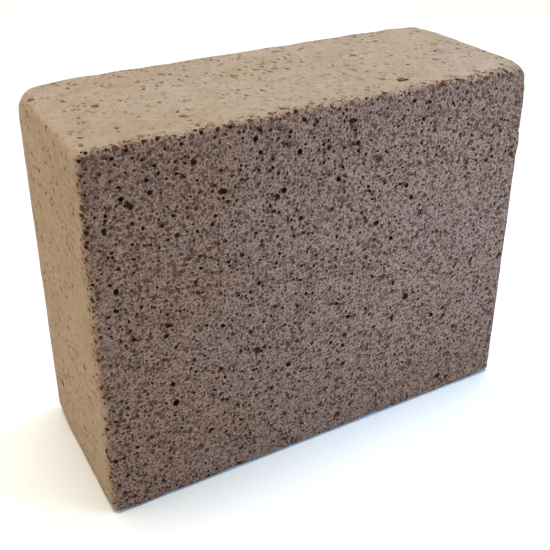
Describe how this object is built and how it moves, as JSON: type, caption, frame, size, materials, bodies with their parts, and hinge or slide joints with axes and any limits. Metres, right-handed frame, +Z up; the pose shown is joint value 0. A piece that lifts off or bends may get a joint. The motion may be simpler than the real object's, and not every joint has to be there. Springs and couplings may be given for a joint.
{
  "type": "porous rubbing block",
  "caption": "Rectangular block of rigid open-pored foamed mineral, held in the hand to rub and smooth set grout, mortar, stone or masonry.",
  "frame": {"origin": "middle of the long narrow face that the block stands on", "axes": "+X along the length, +Y through the thickness from the front working face to the back one, +Z up the height"},
  "size_m": [0.1, 0.04, 0.08],
  "materials": {
    "foamed_mineral": "matt, dry, open-pored"
  },
  "bodies": {
    "root": {"porous_block": "foamed_mineral"}
  },
  "joints": []
}
